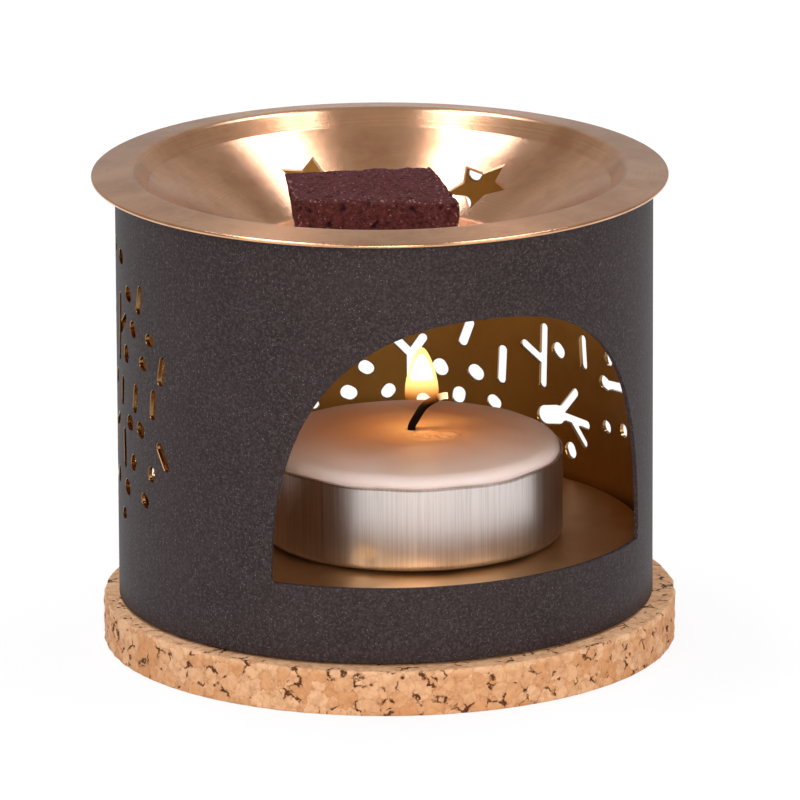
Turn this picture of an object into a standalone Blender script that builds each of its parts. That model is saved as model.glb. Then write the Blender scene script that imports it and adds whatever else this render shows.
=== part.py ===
"""Incense holder heated by a tealight.

A cork base carries a tube of thin sheet steel with an arched window in front and a pierced
pattern round its back. A pan inside the tube is the floor for the tealight. A spun bowl with
star cut-outs hangs by its flange on the tube's top edge and holds a block of incense.

Sizes are in metres. The origin is on the tube's axis at the cork's underside, +Z is up, and
the window faces -Y. Azimuths are measured from the window's middle, turning towards +X.
"""

import math
import random

import bmesh
import bpy
import numpy as np
from mathutils import Matrix, Vector, noise

# Gap left between two pieces that touch, and how far a cutter stands out of what it cuts
SEAT_GAP = 0.0003
CUTTER_REACH = 0.002

# Tube of the housing
TUBE_DIAMETER = 0.070
TUBE_HEIGHT = 0.05568
TUBE_SHEET = 0.0006

# Arched window: its width is measured round the tube, its sill from the floor pan, and its
# head from the tube's top
WINDOW_WIDTH = 0.0577
WINDOW_SILL_LIP = 0.0018
WINDOW_HEAD = 0.01068
WINDOW_ROUNDNESS = 2.3
WINDOW_CORNER = 0.0006

# Pierced pattern round the back of the tube: plain sheet is left beside the window, below
# and above
PATTERN_MARGIN = 0.0166
PATTERN_FOOT = 0.0095
PATTERN_HEAD = 0.00568
PATTERN_ROUNDNESS = 3.4
PATTERN_ROW = 0.0044
PATTERN_STEP = 0.0051
PATTERN_DRIFT = 0.0008
PATTERN_WEB = 0.0009
PATTERN_SEED = 5
DOT_WIDTH = 0.0018
DOT_STRETCH = 0.0005
DASH_WIDTH = 0.0013
DASH_LENGTH = 0.0040
DASH_SHARE = 0.25
DASH_LEAN = 0.25
TWIG_GRID = 0.0001
TWIG_WIDTH = 0.0012
CORAL_WIDTH = 0.0026
TWIG_PITCH = 0.0403
TWIG_SHIFT = 0.0037
TWIG_STAGGER = 0.0024

# Cork base, which lies a little to the right under the tube
CORK_OVERHANG = 0.0025
CORK_THICKNESS = 0.006
CORK_EDGE = 0.0008
CORK_SHIFT = Vector((0.0004, -0.0002, 0.0))

# Floor pan inside the tube
PAN_HEIGHT = 0.0082
PAN_SHEET = 0.0006
PAN_BEND = 0.0016

# Bowl, measured on its upper surface. It lies a little to the left on the tube
DISH_OVERHANG = 0.0024
DISH_SHEET = 0.0005
DISH_LIP = 0.0002
DISH_PLAY = 0.0043
DISH_WALL_RUN = 0.0020
DISH_WALL_DROP = 0.0022
DISH_FLANGE_RISE = 0.00075
DISH_SHOULDER = 0.0012
DISH_DEPTH = 0.0095
DISH_FLOOR_BEND = 0.0025
DISH_FLOOR_ROOM = 0.0030
DISH_SHIFT = Vector((-0.0005, 0.0002, 0.0))

# Star cut-outs in the bowl's sloping wall: pairs at its back and front
STAR_PAIRS = 2
STAR_SPREAD = math.radians(60.0)
STAR_RADIUS = 0.0048
STAR_INNER = 0.52
STAR_FOOT = 0.0014
STAR_RING_TURN = math.radians(31.4)
STAR_TILT = math.radians(37.6)

# Block of incense on the bowl's floor: its back is shorter than its front by the taper, its
# right end wider than its left by the wedge, and its left end leans out at the back, so that
# its foot there stands in by the undercut
BLOCK_LENGTH = 0.0208
BLOCK_WIDTH = 0.0171
BLOCK_HEIGHT = 0.0074
BLOCK_TAPER = 0.0013
BLOCK_WEDGE = 0.0048
BLOCK_UNDERCUT = 0.0018
BLOCK_CRUMB = 0.00035
BLOCK_CRUMB_WAVES = 9.0
BLOCK_CORNER_WEAR = 0.035
BLOCK_TURN = math.radians(-13.2)
BLOCK_SHIFT = Vector((-0.0014, 0.0009, 0.0))

# Tealight: cup, wax, wick and the wick's sustainer
CUP_DIAMETER = 0.040
CUP_HEIGHT = 0.0112
CUP_WALL = 0.0003
CUP_BEND = 0.0010
CUP_LIP = 0.0003
CUP_SHIFT = Vector((0.0020, -0.0043, 0.0))
WAX_EDGE_RISE = 0.0003
WAX_DOME = 0.0024
WAX_FLAT = 0.0085
WAX_SHOULDER = 0.0006
WAX_BORE_PLAY = 0.0003
WICK_DIAMETER = 0.0011
WICK_STAND = 0.0003
WICK_RISE = 0.0041
WICK_REACH = 0.0047
WICK_SLANT = math.radians(30.0)
WICK_LEAN_AZIMUTH = math.radians(67.7)
SUSTAINER_DIAMETER = 0.0130
SUSTAINER_SHEET = 0.0003
SUSTAINER_CRIMP = 0.0028

# How finely round forms are divided
TUBE_SIDES = 60
CUP_SIDES = 44
SMALL_SIDES = 24
WINDOW_COLUMNS = 32
DOT_END_POINTS = 4
SLOT_END_POINTS = 3


def clear_scene():
    """Removes every object of the scene."""
    for thing in list(bpy.data.objects):
        bpy.data.objects.remove(thing, do_unlink=True)


def material(name, colour, roughness, metallic):
    """A plain material with one colour, roughness and metallic value."""
    finish = bpy.data.materials.new(name)
    finish.use_nodes = True
    shader = finish.node_tree.nodes["Principled BSDF"]
    shader.inputs["Base Color"].default_value = (*colour, 1.0)
    shader.inputs["Roughness"].default_value = roughness
    shader.inputs["Metallic"].default_value = metallic
    return finish


def place(name, shape, finish, location, parent=None):
    """Puts a bmesh into the scene as a named object, shaded smooth across its soft edges."""
    bmesh.ops.recalc_face_normals(shape, faces=shape.faces)
    mesh = bpy.data.meshes.new(name)
    shape.to_mesh(mesh)
    shape.free()
    mesh.materials.append(finish)
    mesh.shade_smooth()
    mesh.set_sharp_from_angle(angle=math.radians(30))
    piece = bpy.data.objects.new(name, mesh)
    piece.location = location
    piece.parent = parent
    bpy.context.scene.collection.objects.link(piece)
    return piece


def cut(piece, cutter, name):
    """Cuts the cutter out of the piece with a live Boolean, and hides the cutter."""
    cutter.hide_render = True
    cutter.display_type = "WIRE"
    boolean = piece.modifiers.new(name, "BOOLEAN")
    boolean.operation = "DIFFERENCE"
    boolean.solver = "EXACT"
    boolean.use_self = True
    boolean.object = cutter


def turned(profile, sides, closed):
    """Turns a profile of (radius, height) points round the Z axis.

    A closed profile makes a ring. An open one starts and ends on the axis.
    """
    shape = bmesh.new()
    points = [shape.verts.new((radius, 0.0, height)) for radius, height in profile]
    first = 0 if closed else 1
    edges = [shape.edges.new((points[i - 1], points[i])) for i in range(first, len(points))]
    bmesh.ops.spin(
        shape,
        geom=points + edges,
        cent=(0.0, 0.0, 0.0),
        axis=(0.0, 0.0, 1.0),
        angle=math.tau,
        steps=sides,
        use_merge=True,
    )
    bmesh.ops.remove_doubles(shape, verts=shape.verts, dist=1e-6)
    return shape


def rounded(corners, bend_points=3):
    """A path of (radius, height, bend radius) corners, each bend drawn as an arc."""
    path = []
    for i, (x, y, bend) in enumerate(corners):
        here = np.array((x, y))
        if bend == 0.0:
            path.append(here)
            continue
        before = np.array(corners[i - 1][:2]) - here
        after = np.array(corners[i + 1][:2]) - here
        before /= np.linalg.norm(before)
        after /= np.linalg.norm(after)
        half = math.acos(np.clip(before @ after, -1.0, 1.0)) / 2.0
        middle = (before + after) / np.linalg.norm(before + after)
        centre = here + middle * bend / math.sin(half)
        start = here + before * bend / math.tan(half) - centre
        end = here + after * bend / math.tan(half) - centre
        sweep = math.atan2(start[0] * end[1] - start[1] * end[0], start @ end)
        for turn in np.linspace(0.0, sweep, bend_points):
            cosine, sine = math.cos(turn), math.sin(turn)
            path.append(centre + (start[0] * cosine - start[1] * sine,
                                  start[0] * sine + start[1] * cosine))
    return np.array(path)


def sheet(path, thickness, lip=0.0):
    """Outline of a bent sheet: the path, its outer end, and the path moved to its right.

    The move is square to the path, mitred at each bend. A negative thickness moves it to the
    left. The end is rounded by a middle point that stands out by the lip.
    """
    along = np.diff(path, axis=0)
    along /= np.linalg.norm(along, axis=1)[:, None]
    square = np.stack([along[:, 1], -along[:, 0]], axis=1)
    before = np.vstack([square[:1], square])
    after = np.vstack([square, square[-1:]])
    mitre = before + after
    mitre /= np.sum(mitre * after, axis=1)[:, None]
    moved = path + mitre * thickness
    end = [(path[-1] + moved[-1]) / 2.0 + along[-1] * lip] if lip else []
    return [*path, *end, *moved[::-1]]


# Heights and radii that follow from the sizes above
TUBE_FOOT = CORK_THICKNESS + SEAT_GAP
TUBE_OUTER = TUBE_DIAMETER / 2.0
TUBE_INNER = TUBE_OUTER - TUBE_SHEET
WINDOW_SILL = PAN_HEIGHT + WINDOW_SILL_LIP
WINDOW_HEIGHT = TUBE_HEIGHT - WINDOW_HEAD - WINDOW_SILL
PATTERN_WIDTH = math.tau * TUBE_OUTER - WINDOW_WIDTH - 2.0 * PATTERN_MARGIN
PATTERN_HEIGHT = TUBE_HEIGHT - PATTERN_HEAD - PATTERN_FOOT
CUP_FOOT = TUBE_FOOT + PAN_HEIGHT + SEAT_GAP
DISH_RIM = TUBE_OUTER + DISH_OVERHANG
DISH_NECK = TUBE_INNER - DISH_PLAY
DISH_FLOOR = math.hypot(BLOCK_LENGTH, BLOCK_WIDTH) / 2.0 + DISH_FLOOR_ROOM


def make_cork_base():
    """A disc of pressed cork with softened edges."""
    radius = TUBE_OUTER + CORK_OVERHANG
    outline = rounded([
        (0.0, 0.0, 0.0),
        (radius, 0.0, CORK_EDGE),
        (radius, CORK_THICKNESS, CORK_EDGE),
        (0.0, CORK_THICKNESS, 0.0),
    ])
    finish = material("cork", (0.68, 0.38, 0.19), 0.9, 0.0)
    return place("cork_base", turned(outline, TUBE_SIDES, closed=False), finish, CORK_SHIFT)


def rolled(arc, height, radius):
    """Point of the flat sheet at this arc length and height, rolled to this radius.

    Arc lengths are measured on the tube's outer face, from the window's middle.
    """
    azimuth = arc / TUBE_OUTER
    return (radius * math.sin(azimuth), -radius * math.cos(azimuth), height)


def window_heights(arcs):
    """Sill and crown of the window at each arc length, as heights above the tube's foot.

    The crown is half a superellipse that stands on the sill. The sill's ends turn up in a
    small round corner.
    """
    reach = WINDOW_WIDTH / 2.0
    share = np.clip(np.abs(arcs) / reach, 0.0, 1.0)
    crown = WINDOW_HEIGHT * (1.0 - share**WINDOW_ROUNDNESS) ** (1.0 / WINDOW_ROUNDNESS)
    into_corner = np.clip(np.abs(arcs) - (reach - WINDOW_CORNER), 0.0, WINDOW_CORNER)
    corner = WINDOW_CORNER - np.sqrt(WINDOW_CORNER**2 - into_corner**2)
    return WINDOW_SILL + corner, WINDOW_SILL + np.maximum(crown, corner + WINDOW_CORNER / 2.0)


def window_cutter():
    """A curved slab with radial sides that fills the window and stands out on both faces.

    Its columns crowd towards the ends, where the crown turns down.
    """
    turns = np.linspace(-math.pi / 2.0, math.pi / 2.0, WINDOW_COLUMNS + 1)
    arcs = WINDOW_WIDTH / 2.0 * np.sin(turns)
    low, high = window_heights(arcs)
    near, far = TUBE_INNER - CUTTER_REACH, TUBE_OUTER + CUTTER_REACH
    shape = bmesh.new()
    loops = []
    for arc, sill, crown in zip(arcs, low, high):
        corners = ((near, sill), (far, sill), (far, crown), (near, crown))
        loops.append([shape.verts.new(rolled(arc, height, radius)) for radius, height in corners])
    for one, two in zip(loops, loops[1:]):
        for k in range(4):
            shape.faces.new((one[k - 1], one[k], two[k], two[k - 1]))
    shape.faces.new(loops[0])
    shape.faces.new(loops[-1])
    return shape


def twig_strokes(arc, foot):
    """Strokes of one group: a forked twig, a branching coral, a sprig, dashes and a fork.

    Each stroke is (start, end, width), with points as (arc length, height). The numbers are
    steps of the twigs' grid.
    """
    def stroke(x0, y0, x1, y1, width):
        start = (arc - x0 * TWIG_GRID, foot + y0 * TWIG_GRID)
        end = (arc - x1 * TWIG_GRID, foot + y1 * TWIG_GRID)
        return start, end, width

    return [
        stroke(0, 105, 2, 182, TWIG_WIDTH),
        stroke(1, 135, -30, 155, TWIG_WIDTH),
        stroke(4, 62, 26, 66, CORAL_WIDTH),
        stroke(26, 66, 58, 102, TWIG_WIDTH),
        stroke(26, 66, 82, 62, TWIG_WIDTH),
        stroke(50, 64, 77, 36, TWIG_WIDTH),
        stroke(118, 130, 126, 128, DOT_WIDTH),
        stroke(126, 128, 168, 133, TWIG_WIDTH),
        stroke(-66, 102, -64, 142, DASH_WIDTH),
        stroke(76, 144, 73, 178, DASH_WIDTH),
        stroke(-194, 98, -194, 127, TWIG_WIDTH),
        stroke(-194, 127, -213, 146, TWIG_WIDTH),
        stroke(-194, 127, -178, 150, TWIG_WIDTH),
        stroke(-40, 240, -46, 320, TWIG_WIDTH),
        stroke(-43, 275, -73, 298, TWIG_WIDTH),
    ]


def stroke_gap(one, two):
    """Least sheet left between two strokes, from points spaced along their middle lines."""
    share = np.linspace(0.0, 1.0, 9)[:, None]
    a = np.array(one[0]) * (1.0 - share) + np.array(one[1]) * share
    b = np.array(two[0]) * (1.0 - share) + np.array(two[1]) * share
    apart = np.linalg.norm(a[:, None, :] - b[None, :, :], axis=2).min()
    return apart - (one[2] + two[2]) / 2.0


def in_field(arc, height):
    """Whether a point lies in the pattern's field, a superellipse round its middle."""
    across = abs(arc - math.pi * TUBE_OUTER) / (PATTERN_WIDTH / 2.0)
    up = abs(height - PATTERN_FOOT - PATTERN_HEIGHT / 2.0) / (PATTERN_HEIGHT / 2.0)
    return across**PATTERN_ROUNDNESS + up**PATTERN_ROUNDNESS < 1.0


def pattern_strokes():
    """All strokes of the pierced pattern: groups of twigs, with dots and dashes between them.

    Dots and dashes stand in staggered rows, each a little off its place. One that would leave
    too little sheet to its neighbours is left out, and so is what lies outside the field.
    """
    back = math.pi * TUBE_OUTER
    groups = int(PATTERN_WIDTH / TWIG_PITCH)
    strokes = []
    for k in range(groups):
        arc = back + TWIG_SHIFT + (k - (groups - 1) / 2.0) * TWIG_PITCH
        for twig in twig_strokes(arc, PATTERN_FOOT + (k % 2) * TWIG_STAGGER):
            if in_field(*twig[0]) and in_field(*twig[1]):
                strokes.append(twig)

    chance = random.Random(PATTERN_SEED)
    rows = int(PATTERN_HEIGHT / PATTERN_ROW)
    columns = int(PATTERN_WIDTH / PATTERN_STEP)
    for row in range(rows):
        for column in range(columns):
            arc = back + (column + 0.5 * (row % 2) - (columns - 0.5) / 2.0) * PATTERN_STEP
            height = PATTERN_FOOT + PATTERN_HEIGHT / 2.0 + (row - (rows - 1) / 2.0) * PATTERN_ROW
            arc += chance.uniform(-PATTERN_DRIFT, PATTERN_DRIFT)
            height += chance.uniform(-PATTERN_DRIFT, PATTERN_DRIFT)
            if chance.random() < DASH_SHARE:
                length, lean, width = DASH_LENGTH - DASH_WIDTH, chance.gauss(0.0, DASH_LEAN), DASH_WIDTH
            else:
                length, lean = DOT_STRETCH, chance.uniform(0.0, math.pi)
                width = DOT_WIDTH * chance.uniform(0.85, 1.1)
            across, up = math.sin(lean) * length / 2.0, math.cos(lean) * length / 2.0
            mark = (arc - across, height - up), (arc + across, height + up), width
            clear = all(stroke_gap(mark, other) > PATTERN_WEB for other in strokes)
            if clear and in_field(*mark[0]) and in_field(*mark[1]):
                strokes.append(mark)
    return strokes


def stroke_outline(start, end, width):
    """Outline of a slot with round ends, as (arc length, height) points."""
    direction = math.atan2(end[1] - start[1], end[0] - start[0])
    count = DOT_END_POINTS if math.dist(start, end) < width / 2.0 else SLOT_END_POINTS
    outline = []
    for point, facing in ((end, direction), (start, direction + math.pi)):
        for k in range(count):
            turn = facing + math.pi * ((k + 0.5) / count - 0.5)
            outline.append((point[0] + math.cos(turn) * width / 2.0,
                            point[1] + math.sin(turn) * width / 2.0))
    return outline


def pattern_cutter():
    """Radial prisms through the tube's wall, one for each stroke of the pattern."""
    inside, outside = TUBE_INNER - CUTTER_REACH, TUBE_OUTER + CUTTER_REACH
    shape = bmesh.new()
    for start, end, width in pattern_strokes():
        outline = stroke_outline(start, end, width)
        near = [shape.verts.new(rolled(arc, height, inside)) for arc, height in outline]
        far = [shape.verts.new(rolled(arc, height, outside)) for arc, height in outline]
        for k in range(len(outline)):
            shape.faces.new((near[k - 1], near[k], far[k], far[k - 1]))
        caps = [shape.faces.new(near), shape.faces.new(far)]
        bmesh.ops.triangulate(shape, faces=caps)
    return shape


def make_housing():
    """The rolled tube, its window and its pierced pattern."""
    outline = [(TUBE_OUTER, 0.0), (TUBE_OUTER, TUBE_HEIGHT), (TUBE_INNER, TUBE_HEIGHT),
               (TUBE_INNER, 0.0)]
    finish = material("powder_coated_steel", (0.055, 0.042, 0.045), 0.6, 0.2)
    foot = (0.0, 0.0, TUBE_FOOT)
    housing = place("housing", turned(outline, TUBE_SIDES, closed=True), finish, foot)
    cut(housing, place("window_cutter", window_cutter(), finish, foot), "window")
    cut(housing, place("pattern_cutter", pattern_cutter(), finish, foot), "pattern")
    return housing


def make_floor_pan():
    """A pressed pan, upside down: a flat floor with its skirt turned down to the tube's foot."""
    radius = TUBE_INNER - SEAT_GAP
    path = rounded([
        (0.0, PAN_HEIGHT, 0.0),
        (radius, PAN_HEIGHT, PAN_BEND),
        (radius, 0.0, 0.0),
    ], bend_points=4)
    outline = sheet(path, PAN_SHEET)
    finish = material("gold_lacquered_steel", (0.62, 0.36, 0.13), 0.3, 1.0)
    return place("floor_pan", turned(outline, TUBE_SIDES, closed=False), finish,
                 (0.0, 0.0, TUBE_FOOT))


def dish_path():
    """Upper surface of the bowl from its centre out to its rim, as heights above the rim."""
    return rounded([
        (0.0, -DISH_DEPTH, 0.0),
        (DISH_FLOOR, -DISH_DEPTH, DISH_FLOOR_BEND),
        (DISH_NECK, DISH_FLANGE_RISE - DISH_WALL_DROP, DISH_SHOULDER / 2.0),
        (DISH_NECK + DISH_WALL_RUN, DISH_FLANGE_RISE, DISH_SHOULDER),
        (DISH_RIM, 0.0, 0.0),
    ])


def rim_height():
    """Height of the bowl's rim when its flange lies on the tube's top edge."""
    slope = DISH_FLANGE_RISE / (DISH_RIM - DISH_NECK - DISH_WALL_RUN)
    underside = slope * (DISH_RIM - TUBE_OUTER) - DISH_SHEET * math.hypot(1.0, slope)
    return TUBE_FOOT + TUBE_HEIGHT + SEAT_GAP - underside


def star_cutter():
    """Five-pointed prisms square to the bowl's sloping wall, in pairs."""
    floor = Vector((DISH_FLOOR, 0.0, -DISH_DEPTH))
    neck = Vector((DISH_NECK, 0.0, DISH_FLANGE_RISE - DISH_WALL_DROP))
    up_slope = (neck - floor).normalized()
    along_ring = Vector((0.0, 1.0, 0.0))
    square = along_ring.cross(up_slope).normalized()
    centre = floor + up_slope * (STAR_RADIUS + STAR_FOOT)
    shape = bmesh.new()
    for k in range(2 * STAR_PAIRS):
        azimuth = STAR_RING_TURN + k // 2 * math.tau / STAR_PAIRS + k % 2 * STAR_SPREAD
        ring = Matrix.Rotation(azimuth, 4, "Z")
        rows = []
        for depth in (-CUTTER_REACH, CUTTER_REACH):
            row = []
            for point in range(10):
                reach = STAR_RADIUS * (1.0 if point % 2 == 0 else STAR_INNER)
                turn = STAR_TILT + point * math.tau / 10.0
                spot = along_ring * math.cos(turn) + up_slope * math.sin(turn)
                row.append(shape.verts.new(ring @ (centre + spot * reach + square * depth)))
            rows.append(row)
        for point in range(10):
            shape.faces.new((rows[0][point - 1], rows[0][point], rows[1][point],
                             rows[1][point - 1]))
        shape.faces.new(rows[0])
        shape.faces.new(rows[1])
    return shape


def make_dish():
    """The spun bowl with its flange and its pairs of stars."""
    finish = material("copper_plated_steel", (0.72, 0.38, 0.19), 0.25, 1.0)
    spot = DISH_SHIFT + Vector((0.0, 0.0, rim_height()))
    outline = sheet(dish_path(), DISH_SHEET, DISH_LIP)
    dish = place("dish", turned(outline, TUBE_SIDES, closed=False), finish, spot)
    cut(dish, place("star_cutter", star_cutter(), finish, spot), "stars")
    return dish


def make_incense_block():
    """A block broken from a slab: no two sides alike, its faces and edges crumbled."""
    shape = bmesh.new()
    bmesh.ops.create_cube(shape, size=1.0)
    bmesh.ops.subdivide_edges(shape, edges=shape.edges, cuts=6, use_grid_fill=True)
    for vert in shape.verts:
        unit = vert.co * 2.0
        crumb = noise.noise_vector(vert.co * BLOCK_CRUMB_WAVES) * BLOCK_CRUMB
        edge = sum(unit[k] ** 8 * unit[k - 1] ** 8 for k in range(3))
        wear = 1.0 - BLOCK_CORNER_WEAR * edge
        half_length = (BLOCK_LENGTH - BLOCK_TAPER * (1.0 + unit.y) / 2.0) / 2.0
        half_width = BLOCK_WIDTH / 2.0
        if unit.y < 0.0:
            half_width += BLOCK_WEDGE * unit.x / 2.0
        foot_in = BLOCK_UNDERCUT * (1.0 - unit.x) * (1.0 + unit.y) * (1.0 - unit.z) / 8.0
        vert.co = Vector((
            unit.x * half_length * wear + foot_in,
            unit.y * half_width * wear,
            (unit.z * wear + 1.0) * BLOCK_HEIGHT / 2.0,
        ))
        if unit.z > -1.0:
            vert.co += crumb
        else:
            vert.co.z = 0.0
    finish = material("pressed_incense", (0.075, 0.025, 0.022), 0.95, 0.0)
    floor = Vector((0.0, 0.0, rim_height() - DISH_DEPTH + SEAT_GAP))
    block = place("incense_block", shape, finish, DISH_SHIFT + BLOCK_SHIFT + floor)
    block.rotation_euler.z = BLOCK_TURN
    return block


def make_tealight_cup():
    """A drawn aluminium cup with a rounded foot and a lip turned slightly out."""
    radius = CUP_DIAMETER / 2.0
    path = rounded([
        (0.0, 0.0, 0.0),
        (radius - CUP_LIP, 0.0, CUP_BEND),
        (radius - CUP_LIP, CUP_HEIGHT - 2.0 * CUP_LIP, CUP_LIP),
        (radius, CUP_HEIGHT, 0.0),
    ])
    outline = sheet(path, -CUP_WALL)
    finish = material("drawn_aluminium", (0.80, 0.76, 0.73), 0.3, 1.0)
    spot = CUP_SHIFT + Vector((0.0, 0.0, CUP_FOOT))
    return place("tealight_cup", turned(outline, CUP_SIDES, closed=False), finish, spot)


def crimp_radius():
    """Outer radius of the tube of sheet that grips the wick."""
    return WICK_DIAMETER / 2.0 + SEAT_GAP + SUSTAINER_SHEET


def sustainer_heights():
    """Heights above the cup's foot of the sustainer's underside, disc top and tube top."""
    foot = CUP_WALL + SEAT_GAP
    return foot, foot + SUSTAINER_SHEET, foot + SUSTAINER_CRIMP


def wax_crown_height():
    """Height of the wax at its middle above the cup's foot."""
    return CUP_HEIGHT + WAX_EDGE_RISE + WAX_DOME


def make_tealight_wax(cup):
    """The cast wax: it domes out of the cup, and is hollow round the wick and its sustainer."""
    foot, disc_top, crimp_top = sustainer_heights()
    radius = CUP_DIAMETER / 2.0 - CUP_LIP - CUP_WALL - SEAT_GAP
    bore = WICK_DIAMETER / 2.0 + WAX_BORE_PLAY
    disc_room = SUSTAINER_DIAMETER / 2.0 + SEAT_GAP
    crimp_room = crimp_radius() + SEAT_GAP
    outline = rounded([
        (disc_room, foot, 0.0),
        (radius, foot, CUP_BEND),
        (radius, CUP_HEIGHT + WAX_EDGE_RISE, WAX_SHOULDER),
        (WAX_FLAT, wax_crown_height(), WAX_FLAT),
        (bore, wax_crown_height(), 0.0),
        (bore, crimp_top + SEAT_GAP, 0.0),
        (crimp_room, crimp_top + SEAT_GAP, 0.0),
        (crimp_room, disc_top + SEAT_GAP, 0.0),
        (disc_room, disc_top + SEAT_GAP, 0.0),
    ])
    finish = material("paraffin_wax", (0.86, 0.72, 0.63), 0.45, 0.0)
    return place("tealight_wax", turned(outline, CUP_SIDES, closed=True), finish, (0, 0, 0), cup)


def make_wick_sustainer(cup):
    """A small disc with a tube crimped round the wick's foot."""
    foot, disc_top, crimp_top = sustainer_heights()
    bore = WICK_DIAMETER / 2.0 + SEAT_GAP
    outline = [
        (bore, foot),
        (SUSTAINER_DIAMETER / 2.0, foot),
        (SUSTAINER_DIAMETER / 2.0, disc_top),
        (crimp_radius(), disc_top),
        (crimp_radius(), crimp_top),
        (bore, crimp_top),
    ]
    finish = material("tinned_steel", (0.6, 0.6, 0.6), 0.35, 1.0)
    return place("wick_sustainer", turned(outline, SMALL_SIDES, closed=True), finish,
                 (0, 0, 0), cup)


def make_wick(cup):
    """A cotton wick, straight up through the wax and bent over in an arc above it."""
    foot = sustainer_heights()[0]
    stand = wax_crown_height() + WICK_STAND
    points = [(0.0, height) for height in np.linspace(foot, stand, 4)]
    for turn in np.linspace(WICK_SLANT, math.pi / 2.0, 6)[1:]:
        over = 1.0 - math.cos(turn) / math.cos(WICK_SLANT)
        up = (math.sin(turn) - math.sin(WICK_SLANT)) / (1.0 - math.sin(WICK_SLANT))
        points.append((WICK_REACH * over, stand + WICK_RISE * up))
    curve = bpy.data.curves.new("wick", "CURVE")
    curve.dimensions = "3D"
    curve.bevel_depth = WICK_DIAMETER / 2.0
    curve.bevel_resolution = 1
    curve.use_fill_caps = True
    spline = curve.splines.new("POLY")
    spline.points.add(len(points) - 1)
    for point, (out, height) in zip(spline.points, points):
        side = (out * math.sin(WICK_LEAN_AZIMUTH), -out * math.cos(WICK_LEAN_AZIMUTH))
        point.co = (*side, height, 1.0)
    curve.materials.append(material("charred_cotton", (0.02, 0.017, 0.016), 0.9, 0.0))
    wick = bpy.data.objects.new("wick", curve)
    wick.parent = cup
    bpy.context.scene.collection.objects.link(wick)
    return wick


def build():
    """Builds the whole incense holder."""
    clear_scene()
    make_cork_base()
    make_housing()
    make_floor_pan()
    make_dish()
    make_incense_block()
    cup = make_tealight_cup()
    make_tealight_wax(cup)
    make_wick_sustainer(cup)
    make_wick(cup)
    bpy.context.view_layer.update()


build()
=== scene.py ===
"""Incense holder warmed by a tealight, as its maker puts it together.

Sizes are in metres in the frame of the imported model: the origin is on the tube's axis at the
cork's underside, +Z is up, and the window faces -Y. Azimuths run from the window towards +X.
"""

import math
import random

import bpy
import numpy as np
from mathutils import Matrix, Vector
from mathutils.geometry import delaunay_2d_cdt


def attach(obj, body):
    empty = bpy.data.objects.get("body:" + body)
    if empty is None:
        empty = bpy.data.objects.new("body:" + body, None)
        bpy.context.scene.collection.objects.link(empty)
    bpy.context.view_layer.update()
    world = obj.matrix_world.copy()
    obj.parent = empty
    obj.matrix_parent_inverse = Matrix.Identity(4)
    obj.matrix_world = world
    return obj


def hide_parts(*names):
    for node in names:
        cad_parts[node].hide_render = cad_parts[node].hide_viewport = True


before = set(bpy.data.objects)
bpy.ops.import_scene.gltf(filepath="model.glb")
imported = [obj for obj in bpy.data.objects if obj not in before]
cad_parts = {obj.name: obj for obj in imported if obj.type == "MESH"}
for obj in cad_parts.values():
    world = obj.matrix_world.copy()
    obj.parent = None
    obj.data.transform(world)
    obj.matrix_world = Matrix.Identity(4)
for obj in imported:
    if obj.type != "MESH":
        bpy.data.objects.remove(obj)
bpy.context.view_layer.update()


# Cork base: a disc of cork granules pressed with a binder, cut from a sheet.
# The cut side shows the granules, 1.5 to 3 mm wide, with dark bark in some of their joins.

CORK_RADIUS = 0.0375
CORK_THICKNESS = 0.006
CORK_EDGE = 0.0003
CORK_SHIFT = (0.0004, -0.0002, 0.0)
CORK_COLUMNS = 520
CORK_ROWS = 18
CORK_SWELL = 0.0022
CORK_RELIEF = 0.0001
GRANULE = 0.0021
# Painted light: the band at the top of the side that is painted paler, and its fade.
PALE_BAND = 0.0009
PALE_FADE = 0.0006


def rounded(corners, bend_points):
    """Path through corners given as (radius, height, bend radius), each bend drawn as an arc."""
    path = []
    for i, (x, y, bend) in enumerate(corners):
        here = np.array((x, y))
        if bend == 0.0:
            path.append(here)
            continue
        before = np.array(corners[i - 1][:2]) - here
        after = np.array(corners[(i + 1) % len(corners)][:2]) - here
        before, after = unit_rows(np.stack([before, after]))
        half = math.acos(np.clip(before @ after, -1.0, 1.0)) / 2.0
        middle = (before + after) / np.linalg.norm(before + after)
        centre = here + middle * bend / math.sin(half)
        start = here + before * bend / math.tan(half) - centre
        end = here + after * bend / math.tan(half) - centre
        sweep = math.atan2(start[0] * end[1] - start[1] * end[0], start @ end)
        turns = np.linspace(0.0, sweep, bend_points)[:, None]
        path.extend(centre + start * np.cos(turns) + np.array((-start[1], start[0])) * np.sin(turns))
    return np.array(path)


def unit_rows(vectors):
    """Each row of the array over its own length, sqrt(x^2 + y^2 + ...)."""
    return vectors / np.maximum(np.linalg.norm(vectors, axis=1), 1e-12)[:, None]


def divided(path, step):
    """The path with points added, evenly spaced, wherever two of its points lie over a step apart."""
    lengths = np.linalg.norm(np.diff(path, axis=0), axis=1)
    counts = np.ceil(lengths / step - 1e-6).astype(int)
    parts = [np.linspace(path[i], path[i + 1], counts[i], endpoint=False) for i in range(len(counts))]
    return np.vstack([*parts, path[-1:]])


def ring_quads(rows, columns):
    """Corner numbers of the faces between rows of points that each close on themselves."""
    number = np.arange(rows * columns).reshape(rows, columns)
    beside = np.roll(number, -1, axis=1)
    return np.stack([number[:-1], beside[:-1], beside[1:], number[1:]], axis=-1).reshape(-1, 4)


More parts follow.
